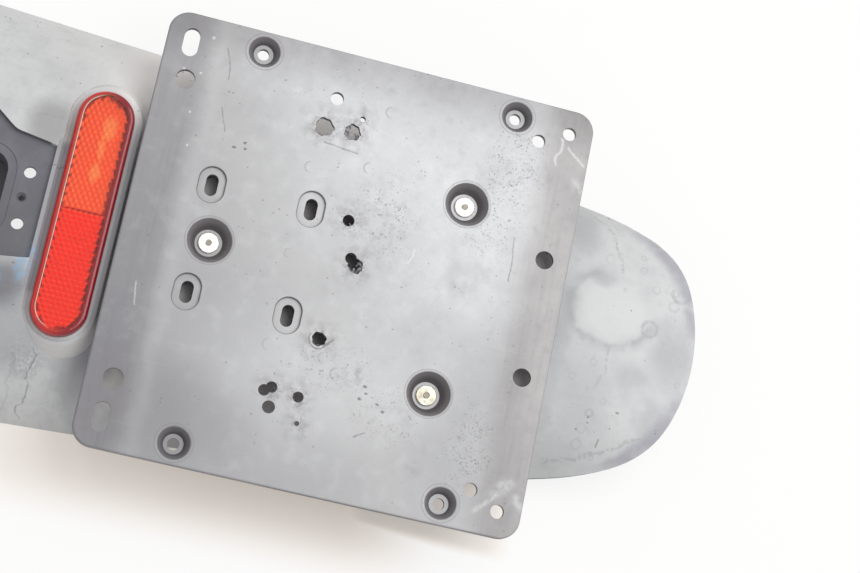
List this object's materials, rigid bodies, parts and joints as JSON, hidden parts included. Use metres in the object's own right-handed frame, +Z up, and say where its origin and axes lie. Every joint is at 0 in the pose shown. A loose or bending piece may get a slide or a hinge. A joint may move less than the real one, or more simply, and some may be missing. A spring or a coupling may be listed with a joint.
{
  "type": "motorcycle rear fender",
  "caption": "Arched plastic motorcycle rear fender with a rounded tongue, a recessed lamp seat, an oblong red reflector and a riveted square plate carrier with many holes.",
  "frame": {"origin": "on the plane of the rims, under the middle of the length and width", "axes": "+X along the fender towards its tip, +Z up through the crown and the plate carrier"},
  "size_m": [0.498, 0.228, 0.05],
  "materials": {
    "fender_shell": "moulded polypropylene, faded by the sun",
    "plate_carrier": "moulded polypropylene, scuffed",
    "reflector_lens": "clear red acrylic with moulded prisms",
    "reflector_back": "moulded",
    "reflector_studs": "zinc plated",
    "reflector_washers": "zinc plated",
    "reflector_nuts": "zinc plated",
    "rivet_bodies": "bright, pulled",
    "rivet_mandrels": "snapped end"
  },
  "bodies": {
    "root": {"fender_shell": "fender_shell", "plate_carrier": "plate_carrier", "reflector_lens": "reflector_lens", "reflector_back": "reflector_back", "reflector_studs": "reflector_studs", "reflector_washers": "reflector_washers", "reflector_nuts": "reflector_nuts", "rivet_bodies": "rivet_bodies", "rivet_mandrels": "rivet_mandrels"}
  },
  "joints": []
}
